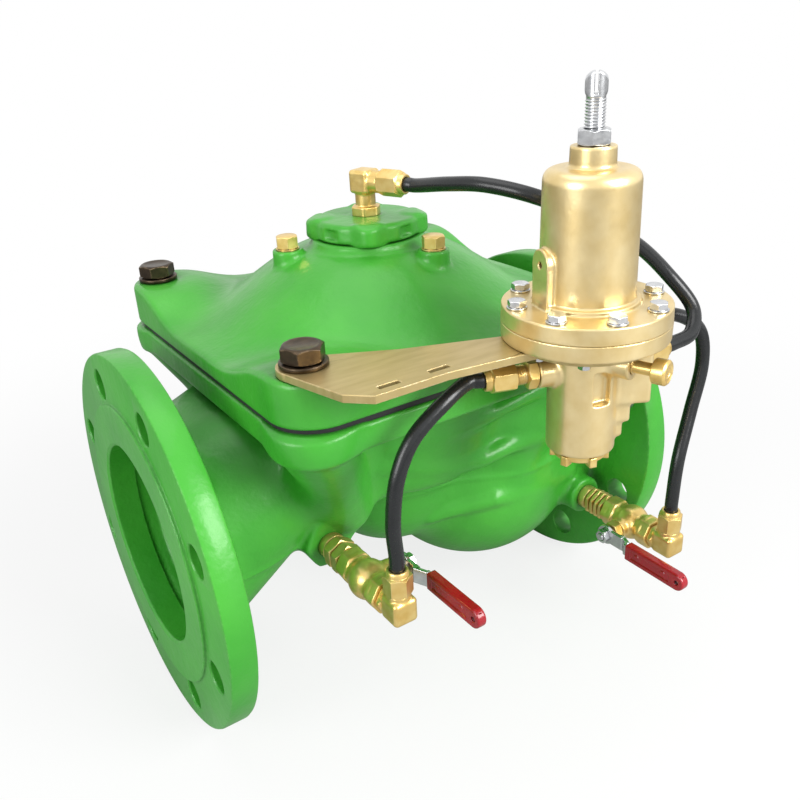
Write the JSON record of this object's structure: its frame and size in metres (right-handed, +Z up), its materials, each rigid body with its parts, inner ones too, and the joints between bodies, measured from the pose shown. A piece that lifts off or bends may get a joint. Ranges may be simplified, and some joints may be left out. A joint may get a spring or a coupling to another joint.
{
  "type": "pressure reducing valve",
  "caption": "Flanged diaphragm globe valve with a brass spring pilot on a bracket, control tubes and isolating ball valves, that holds downstream pipe pressure steady.",
  "frame": {"origin": "on the pipe axis, halfway between the two raised flange faces", "axes": "+X along the pipe towards the inlet flange, +Z up through the bonnet, +Y away from the pilot"},
  "size_m": [0.4, 0.3978, 0.4535],
  "materials": {
    "green_paint": "bright green epoxy enamel over cast iron, satin gloss with slight orange peel",
    "cast_brass": "sand-cast and part-machined brass, satin",
    "machined_brass": "turned and hexagon-milled brass, bright with fine tool marks",
    "plated_plate": "yellow-passivated zinc plate on flat steel, satin",
    "dark_bolt": "dark oiled bronze-brown steel fastener",
    "bright_steel": "zinc-plated or stainless steel, bright satin",
    "coated_iron": "epoxy-coated cast iron",
    "black_rubber": "moulded EPDM rubber, matt",
    "tube_plastic": "black nylon control tube, semi-gloss",
    "red_grip": "red dipped vinyl grip, glossy",
    "ptfe": "white PTFE, matt"
  },
  "bodies": {
    "valve": {"valve_body": "green_paint", "seat_ring": "machined_brass", "seat_o_ring": "black_rubber", "main_diaphragm": "black_rubber", "main_spring": "bright_steel", "bonnet": "green_paint", "bonnet_bolts": "dark_bolt", "bonnet_washers": "dark_bolt", "centre_cap": "green_paint", "centre_cap_o_ring": "black_rubber", "bonnet_plugs": "machined_brass", "cap_elbow": "machined_brass", "bracket": "plated_plate", "pilot_body": "cast_brass", "pilot_diaphragm": "black_rubber", "pilot_spring_cover": "cast_brass", "pilot_bolts": "bright_steel", "bracket_screws": "bright_steel", "pilot_spring": "bright_steel", "pilot_seat": "bright_steel", "pilot_bottom_plug": "machined_brass", "pilot_test_plug": "machined_brass", "pilot_port_fittings": "machined_brass", "outlet_nipple": "machined_brass", "outlet_ball_valve": "machined_brass", "outlet_ball_seats": "ptfe", "outlet_gland_nut": "machined_brass", "outlet_elbow": "machined_brass", "inlet_nipple": "machined_brass", "inlet_ball_valve": "machined_brass", "inlet_ball_seats": "ptfe", "inlet_gland_nut": "machined_brass", "inlet_elbow": "machined_brass", "compression_nuts": "machined_brass", "outlet_tube": "tube_plastic", "cap_tube": "tube_plastic", "inlet_tube": "tube_plastic"},
    "main_disc": {"main_stem": "bright_steel", "seal_disc": "black_rubber", "disc_holder": "coated_iron", "seal_retainer": "machined_brass", "lower_stem_nut": "bright_steel", "lower_diaphragm_washer": "coated_iron", "upper_diaphragm_washer": "coated_iron", "upper_stem_nut": "bright_steel"},
    "pilot_disc": {"pilot_stem": "bright_steel", "pilot_lower_spring_seat": "bright_steel"},
    "spring_button": {"pilot_upper_spring_seat": "bright_steel"},
    "adjusting_screw": {"adjusting_screw": "bright_steel"},
    "lock_nut": {"lock_nut": "bright_steel"},
    "outlet_handle": {"outlet_ball": "bright_steel", "outlet_valve_stem": "bright_steel", "outlet_lever": "bright_steel", "outlet_grip": "red_grip", "outlet_lever_nut": "bright_steel"},
    "inlet_handle": {"inlet_ball": "bright_steel", "inlet_valve_stem": "bright_steel", "inlet_lever": "bright_steel", "inlet_grip": "red_grip", "inlet_lever_nut": "bright_steel"}
  },
  "joints": [
    {"name": "main_lift", "type": "slide", "parent": "valve", "child": "main_disc", "axis": [0, 0, 1], "range_m": [0, 0.03], "deforming": ["main_spring", "main_diaphragm"]},
    {"name": "pilot_lift", "type": "slide", "parent": "valve", "child": "pilot_disc", "axis": [0, 0, -1], "range_m": [0, 0.002], "deforming": ["pilot_diaphragm"]},
    {"name": "screw_feed", "type": "slide", "parent": "valve", "child": "spring_button", "axis": [0, 0, -1], "range_m": [-0.0011, 0.0106], "deforming": ["pilot_spring"]},
    {"name": "screw_turn", "type": "hinge", "parent": "spring_button", "child": "adjusting_screw", "pos_m": [0.041, -0.195, 0.28], "axis": [0, 0, -1], "range_deg": [-205, 2160]},
    {"name": "lock_nut_turn", "type": "hinge", "parent": "valve", "child": "lock_nut", "pos_m": [0.041, -0.195, 0.2765], "axis": [0, 0, 1], "range_deg": [0, 180]},
    {"name": "outlet_handle_turn", "type": "hinge", "parent": "valve", "child": "outlet_handle", "pos_m": [-0.09, -0.134, -0.002], "axis": [-1, 0, 0], "range_deg": [0, 90]},
    {"name": "inlet_handle_turn", "type": "hinge", "parent": "valve", "child": "inlet_handle", "pos_m": [0.152, -0.151, -0.046], "axis": [-1, 0, 0], "range_deg": [0, 90]}
  ],
  "couplings": [
    {"joint": "screw_feed", "follows": "screw_turn", "m_per_rad": 0.00027852}
  ]
}
